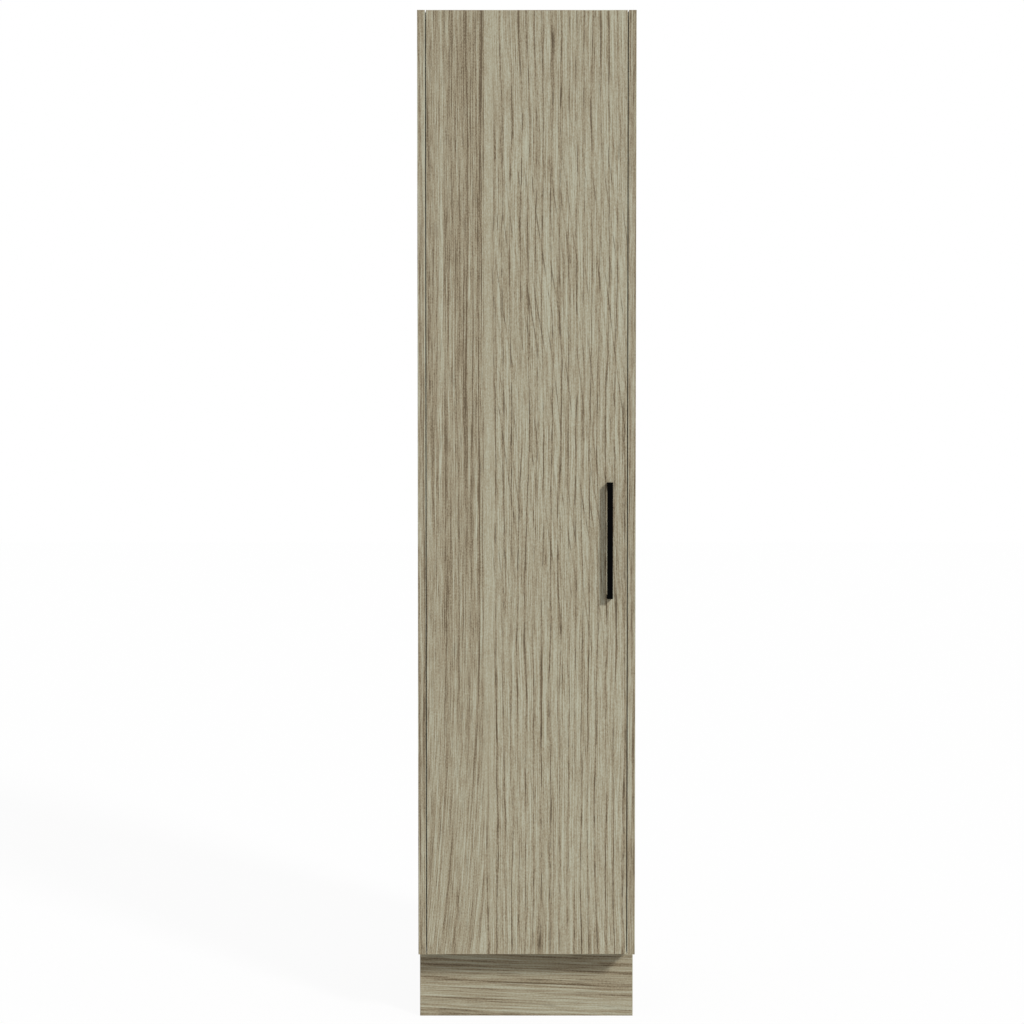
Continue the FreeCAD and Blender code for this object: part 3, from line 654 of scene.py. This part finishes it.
def edging_decor(name, across_axis, along_axis, seed, edges):
    """Edging strip with the grain along it, and arrises painted paler as a highlight and as rubbed wear."""
    graph = Graph(name)
    place = graph.position()
    across = graph.math("ADD", place[across_axis], place["y"])
    tone, pores = straight_tone(graph, across, place[along_axis], seed, EDGING_BASE, EDGING_LAYERS)
    size = graph.math("ABSOLUTE", place[across_axis])
    # painted highlight along the arrises, also standing for rubbed wear
    tone = graph.math("ADD", tone, painted_highlight_arris(graph, size, edges))
    return decor_finish(graph, decor_colour(graph, tone, pores), tone, pores)


def white_finish(graph, place, colour):
    """Matt laminate with a fine pearl."""
    height = graph.noise(place["x"], graph.math("ADD", place["y"], place["z"]), WHITE_PEARL.grain)
    roughness = graph.math("MULTIPLY_ADD", height, WHITE_PEARL.spread, WHITE_PEARL.roughness)
    return graph.surface(colour, roughness, height, WHITE_PEARL.bump, Specular_IOR_Level=WHITE_SPECULAR)


def white_board():
    """White inside boards."""
    graph = Graph("white_board")
    place = graph.position()
    return white_finish(graph, place, white_colour(graph, place))


def top_board():
    """Top board: white, with bare chips on the cut edge at the back."""
    graph = Graph("top_board")
    place = graph.position()
    cut = above(graph, place["y"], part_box("top_panel")[1].y)
    return white_finish(graph, place, graph.mix(cut, white_colour(graph, place), chip_colour(graph)))


def bottom_board():
    """Bottom board: as the top board, with decor underneath."""
    graph = Graph("bottom_board")
    place = graph.position()
    tone, pores = straight_tone(graph, place["y"], place["x"], UNDERSIDE_SEED, UNDERSIDE_BASE)
    under = below(graph, place["z"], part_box("bottom_panel")[0].z)
    colour = graph.mix(under, white_colour(graph, place), decor_colour(graph, tone, pores))
    cut = above(graph, place["y"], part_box("bottom_panel")[1].y)
    return white_finish(graph, place, graph.mix(cut, colour, chip_colour(graph)))


def back_board():
    """Thin back: white inside, bare brown hardboard outside."""
    graph = Graph("back_board")
    place = graph.position()
    fibres = graph.noise(place["x"], place["z"], HARDBOARD_FIBRES)
    clouds = graph.noise(place["x"], place["z"], HARDBOARD_CLOUDS)
    shade = graph.mix_value(HARDBOARD_CLOUD_SHARE, fibres, clouds)
    brown = graph.ramp(shade, list(zip(HARDBOARD_PLACES, map(linear, HARDBOARD_SHADES))))
    outside = above(graph, place["y"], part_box("back_panel")[1].y)
    colour = graph.mix(outside, white_colour(graph, place), brown)
    roughness = graph.math("MULTIPLY_ADD", outside, HARDBOARD_ADDED_ROUGHNESS, BACK_ROUGHNESS)
    return graph.surface(colour, roughness, fibres, HARDBOARD_BUMP, Specular_IOR_Level=BACK_SPECULAR)


def plain_finish(graph, across, along, finish, shades, **inputs):
    """Finish whose fine grain sets its shade, its bump and, with a spread, its roughness."""
    grain = graph.noise(across, along, finish.grain)
    colour = graph.ramp(grain, list(zip(SHADE_PLACES, shades)))
    roughness = finish.roughness
    if finish.spread:
        roughness = graph.math("MULTIPLY_ADD", grain, finish.spread, finish.roughness)
    return graph.surface(colour, roughness, grain, finish.bump, **inputs)


def black_metal():
    """Satin black coating with a fine peel."""
    graph = Graph("black_metal")
    place = graph.position()
    return plain_finish(graph, around(graph, place), place["z"], COATING, COATING_SHADES,
                        Specular_IOR_Level=COATING_SPECULAR)


def plated_steel():
    """Nickel-plated steel with drawing marks."""
    graph = Graph("plated_steel")
    place = graph.position()
    return plain_finish(graph, place["z"], around(graph, place), PLATING, PLATING_SHADES, Metallic=1.0)


def black_plastic():
    """Moulded plastic with a fine grain."""
    graph = Graph("black_plastic")
    place = graph.position()
    return plain_finish(graph, around(graph, place), place["z"], PLASTIC, PLASTIC_SHADES,
                        Specular_IOR_Level=PLASTIC_SPECULAR)


def beech():
    """Bare turned beech with short flecks."""
    graph = Graph("beech")
    place = graph.position()
    return plain_finish(graph, place["z"], place["x"], BEECH, map(linear, BEECH_SHADES))


def soft_pad():
    """Clear soft pad."""
    graph = Graph("soft_pad")
    place = graph.position()
    return plain_finish(graph, place["x"], place["z"], PAD, map(linear, PAD_SHADES),
                        Transmission_Weight=PAD_CLEARNESS)


def slot_materials():
    """One finish for each plain slot of the record."""
    return {
        "white_board": white_board(),
        "black_metal": black_metal(),
        "plated_steel": plated_steel(),
        "black_plastic": black_plastic(),
        "beech": beech(),
        "soft_pad": soft_pad(),
    }


def named_materials():
    """Finishes of the boards that have one of their own."""
    return {
        "door_panel": door_decor(),
        "kickboard": kick_decor(),
        "side_panel_left": side_decor("side_decor_left", "side_panel_left", SIDE_LEFT_SEED),
        "side_panel_right": side_decor("side_decor_right", "side_panel_right", SIDE_RIGHT_SEED),
        "top_panel": top_board(),
        "bottom_panel": bottom_board(),
        "back_panel": back_board(),
    }


def strip_materials():
    """Finishes of the decor edging, by the start of a strip's name and for level strips."""
    side_edges = edging_edges("side_edging_right")
    door_edges = edging_edges("door_edging_right")[1:]
    level_edges = (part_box("door_panel")[1].z,)
    side = edging_decor("side_edging_decor", "x", "z", SIDE_EDGING_SEED, side_edges)
    door = edging_decor("door_edging_decor", "x", "z", DOOR_EDGING_SEED, door_edges)
    level = edging_decor("level_edging_decor", "z", "x", LEVEL_EDGING_SEED, level_edges)
    return {"side_edging": side, "door_edging": door, "kick_edging": side, "level": level}


def paint_nodes(slots):
    """Gives every carried-over part its finish."""
    named = named_materials()
    strips = strip_materials()
    for part in frame["record"]["subparts"]:
        name = part["node"]
        if name in named:
            material = named[name]
        elif part["material_slot"] in slots:
            material = slots[part["material_slot"]]
        elif name.endswith(("_top", "_bottom")):
            material = strips["level"]
        else:
            material = strips[name.rsplit("_", 1)[0]]
        for slot in frame["nodes"][name].material_slots:
            slot.material = material


def solids(node):
    """Corners of each separate solid in a node."""
    mesh = frame["nodes"][node].data
    keys = [tuple(round(value, WELD_DIGITS) for value in vertex.co) for vertex in mesh.vertices]
    leader = {key: key for key in keys}

    def first(key):
        while leader[key] != key:
            key = leader[key]
        return key

    for edge in mesh.edges:
        start, end = (first(keys[index]) for index in edge.vertices)
        leader[start] = end
    groups = {}
    for key in leader:
        groups.setdefault(first(key), []).append(Vector(key))
    return list(groups.values())


def middle_of(points):
    """Middle of the box round some points."""
    return Vector([(min(values) + max(values)) / 2 for values in zip(*points)])


def ring(build, place, radius, level, sides):
    """Circle of corners at a level; radius is a number or goes by the turn, 0 to 1."""
    corners = []
    for side in range(sides):
        turn = side / sides
        reach = radius(turn) if callable(radius) else radius
        angle = 2 * math.pi * turn
        point = Vector((reach * math.cos(angle), reach * math.sin(angle), level))
        corners.append(build.verts.new(place @ point))
    return corners


def skin(build, first, second):
    """Band of faces between two loops of as many corners."""
    for side in range(len(first)):
        after = (side + 1) % len(first)
        build.faces.new((first[side], first[after], second[after], second[side]))


def turned(build, place, profile, sides):
    """Turned surface through (radius, level) pairs; gives back its first and last ring."""
    rings = [ring(build, place, radius, level, sides) for radius, level in profile]
    for first, second in zip(rings, rings[1:]):
        skin(build, first, second)
    return rings[0], rings[-1]


def standing(seat, outward):
    """Placing that stands local +Z on a seat, facing outward."""
    return Matrix.Translation(seat) @ outward.to_track_quat("Z", "Y").to_matrix().to_4x4()


def finish_piece(build, name, node, material):
    """Turns a built mesh into the piece that stands for a node."""
    bmesh.ops.recalc_face_normals(build, faces=build.faces)
    mesh = bpy.data.meshes.new(name)
    build.to_mesh(mesh)
    build.free()
    mesh.materials.append(material)
    mesh.shade_smooth()
    mesh.set_sharp_from_angle(angle=math.radians(SHARP_ANGLE))
    piece = bpy.data.objects.new(name, mesh)
    bpy.context.scene.collection.objects.link(piece)
    record = frame["record"]
    body = next(body for body, nodes in record["behaviour"]["bodies"].items() if node in nodes)
    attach(piece, body)
    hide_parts(node)


def cross_outline(reach, width):
    """Corners of a cross, anticlockwise."""
    corners = []
    for arm in range(CROSS_ARMS):
        turn = Matrix.Rotation(2 * math.pi * arm / CROSS_ARMS, 2)
        corners += [turn @ Vector(point) for point in ((reach, -width), (reach, width), (width, width))]
    return corners


def cross_recess(build, place, rim, radius, height):
    """Closes a screw head inside its rim with a tapered cross recess."""
    outline = cross_outline(radius * CROSS_REACH_SHARE, radius * CROSS_WIDTH_SHARE)
    floor = height * (1.0 - CROSS_DEPTH_SHARE)
    mouth = [build.verts.new(place @ Vector((x, y, height))) for x, y in outline]
    narrow = [(x * CROSS_FLOOR_SHARE, y * CROSS_FLOOR_SHARE) for x, y in outline]
    base = [build.verts.new(place @ Vector((x, y, floor))) for x, y in narrow]
    edges = [build.edges.new((start, end)) for start, end in zip(mouth, mouth[1:] + mouth[:1])]
    edges += [build.edges.get((start, end)) for start, end in zip(rim, rim[1:] + rim[:1])]
    bmesh.ops.triangle_fill(build, edges=edges, use_beauty=True)
    skin(build, mouth, base)
    build.faces.new(base)


def add_screw(build, points, outward):
    """Screw with a cross recess, the size of the solid that it stands for."""
    middle = middle_of(points)
    levels = [(point - middle).dot(outward) for point in points]
    radii = [(point - middle - outward * level).length for point, level in zip(points, levels)]
    radius = max(radii)
    seat = min(level for level, size in zip(levels, radii) if size > HEAD_EDGE_SHARE * radius)
    height = max(levels) - seat
    shank = max(size for level, size in zip(levels, radii) if level < seat - height)
    length = seat - min(levels)
    place = standing(middle + outward * seat, outward)
    profile = [(shank * TIP_SHARE, -length), (shank, TIP_LENGTH - length), (shank, 0.0)]
    profile += [(radius * wide, height * high) for wide, high in HEAD_SHARES]
    tip, rim = turned(build, place, profile, SCREW_SIDES)
    build.faces.new(tip)
    cross_recess(build, place, rim, radius, height)


def add_screws(material):
    """All screws, each group standing for its node."""
    for node, outward in SCREW_HEADS.items():
        build = bmesh.new()
        for points in solids(node):
            add_screw(build, points, outward)
        finish_piece(build, f"{node}_crossed", node, material)


def fluted(radius):
    """Rim radius with grip flutes round it."""
    return lambda turn: radius - FLUTE_DEPTH * max(0.0, math.cos(2 * math.pi * turn * FLUTES)) ** 2


def threaded(radius, level):
    """Stem radius at a level on a screw thread."""
    def reach(turn):
        share = (level / THREAD_PITCH - turn) % 1.0
        return radius - THREAD_DEPTH * min(1.0, THREAD_SLOPE * abs(share - 0.5))
    return reach


def add_foot(node, material):
    """Levelling foot with a fluted rim and a threaded stem."""
    points = solids(node)[0]
    middle = middle_of(points)
    floor = min(point.z for point in points)
    top = max(point.z for point in points) - floor
    sized = [(math.hypot(point.x - middle.x, point.y - middle.y), point.z - floor) for point in points]
    radius = max(size for size, level in sized)
    rim = max(level for size, level in sized if size > FOOT_EDGE_SHARE * radius)
    stem = max(size for size, level in sized if level > FOOT_EDGE_SHARE * top)
    cone = min(level for size, level in sized if abs(size - stem) < RIM_ROUND)
    place = Matrix.Translation((middle.x, middle.y, floor))
    profile = [(radius - RIM_ROUND, 0.0), (fluted(radius), RIM_ROUND), (fluted(radius), rim - RIM_ROUND),
               (radius - RIM_ROUND - FLUTE_DEPTH, rim), (stem + RIM_ROUND, cone - RIM_ROUND), (stem, cone)]
    step = THREAD_PITCH / THREAD_ROWS
    levels = [cone + RIM_ROUND + step * row for row in range(THREAD_TURNS * THREAD_ROWS)]
    profile += [(threaded(stem, level), level) for level in levels]
    profile += [(stem, levels[-1] + RIM_ROUND), (stem, top - RIM_ROUND), (stem - RIM_ROUND, top)]
    build = bmesh.new()
    base, crown = turned(build, place, profile, FOOT_SIDES)
    build.faces.new(base)
    build.faces.new(crown)
    finish_piece(build, f"{node}_threaded", node, material)


def add_bumpers(material):
    """Domed dots on the door's inner face."""
    node = "door_bumpers"
    build = bmesh.new()
    for points in solids(node):
        middle = middle_of(points)
        thickness = max(point.y for point in points) - min(point.y for point in points)
        radius = max(abs(point.x - middle.x) for point in points)
        place = standing(middle - BUMPER_OUTWARD * thickness / 2, BUMPER_OUTWARD)
        profile = [(radius * wide, thickness * high) for wide, high in BUMPER_SHARES]
        base, crown = turned(build, place, profile, BUMPER_SIDES)
        build.faces.new(base)
        tip = build.verts.new(place @ Vector((0.0, 0.0, thickness)))
        for first, second in zip(crown, crown[1:] + crown[:1]):
            build.faces.new((first, second, tip))
    finish_piece(build, "door_bumpers_domed", node, material)


def add_camera():
    """Camera in front of the door."""
    data = bpy.data.cameras.new("camera")
    data.sensor_width = SENSOR_WIDTH
    data.lens = SENSOR_WIDTH * FOCAL_PIXELS / IMAGE_PIXELS
    camera = bpy.data.objects.new("camera", data)
    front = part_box("door_panel")[0].y
    camera.location = (CAMERA_SIDE, front - CAMERA_DISTANCE, CAMERA_HEIGHT)
    camera.rotation_euler = (math.radians(CAMERA_LEVEL_TILT - CAMERA_PITCH_DOWN), 0.0, 0.0)
    bpy.context.scene.collection.objects.link(camera)
    bpy.context.scene.camera = camera


def seen_directly(graph):
    """1 for rays from the camera, from gloss and through glass."""
    path = graph.node("ShaderNodeLightPath")
    seen = graph.math("MAXIMUM", path.outputs["Is Camera Ray"], path.outputs["Is Glossy Ray"])
    return graph.math("MAXIMUM", seen, path.outputs["Is Transmission Ray"])


def floor_white():
    """Material that shows white and still takes a shadow."""
    graph = Graph("floor_white")
    diffuse = graph.node("ShaderNodeBsdfDiffuse")
    graph.put(diffuse.inputs["Color"], (FLOOR_ALBEDO, FLOOR_ALBEDO, FLOOR_ALBEDO, 1.0))
    glow = graph.node("ShaderNodeEmission")
    graph.put(glow.inputs["Strength"], FLOOR_GLOW)
    shader = graph.node("ShaderNodeMixShader")
    graph.put(shader.inputs[0], graph.math("MULTIPLY", seen_directly(graph), FLOOR_WHITE_SHARE))
    graph.put(shader.inputs[1], diffuse.outputs[0])
    graph.put(shader.inputs[2], glow.outputs[0])
    graph.put(graph.node("ShaderNodeOutputMaterial").inputs[0], shader.outputs[0])
    return graph.owner


def add_floor():
    """White floor under the cupboard."""
    half = FLOOR_SIZE / 2
    corners = [(-half, -half, 0), (half, -half, 0), (half, half, 0), (-half, half, 0)]
    mesh = bpy.data.meshes.new("floor")
    mesh.from_pydata(corners, [], [(0, 1, 2, 3)])
    mesh.materials.append(floor_white())
    floor = bpy.data.objects.new("floor", mesh)
    bpy.context.scene.collection.objects.link(floor)


def add_key():
    """Soft key light from the upper right."""
    sun = bpy.data.lights.new("key", "SUN")
    sun.energy = KEY_STRENGTH
    sun.angle = math.radians(KEY_ANGLE)
    key = bpy.data.objects.new("key", sun)
    key.rotation_euler = Vector(KEY_DIRECTION).to_track_quat("Z", "Y").to_euler()
    bpy.context.scene.collection.objects.link(key)


def add_surround():
    """Even white surround, at full strength where it is seen and lower where it lights."""
    graph = Graph("surround", "worlds")
    strength = graph.node("ShaderNodeMapRange")
    graph.put(strength.inputs["Value"], seen_directly(graph))
    graph.put(strength.inputs["To Min"], FILL_STRENGTH)
    background = graph.node("ShaderNodeBackground")
    graph.put(background.inputs["Color"], WHITE)
    graph.put(background.inputs["Strength"], strength.outputs[0])
    graph.put(graph.node("ShaderNodeOutputWorld").inputs[0], background.outputs[0])
    bpy.context.scene.world = graph.owner


bpy.context.scene.view_settings.view_transform = "Standard"
add_camera()
add_floor()
add_key()
add_surround()
finishes = slot_materials()
paint_nodes(finishes)
add_screws(finishes["plated_steel"])
for foot in [name for name in frame["nodes"] if name.startswith("leg_foot")]:
    add_foot(foot, finishes["black_plastic"])
add_bumpers(finishes["soft_pad"])
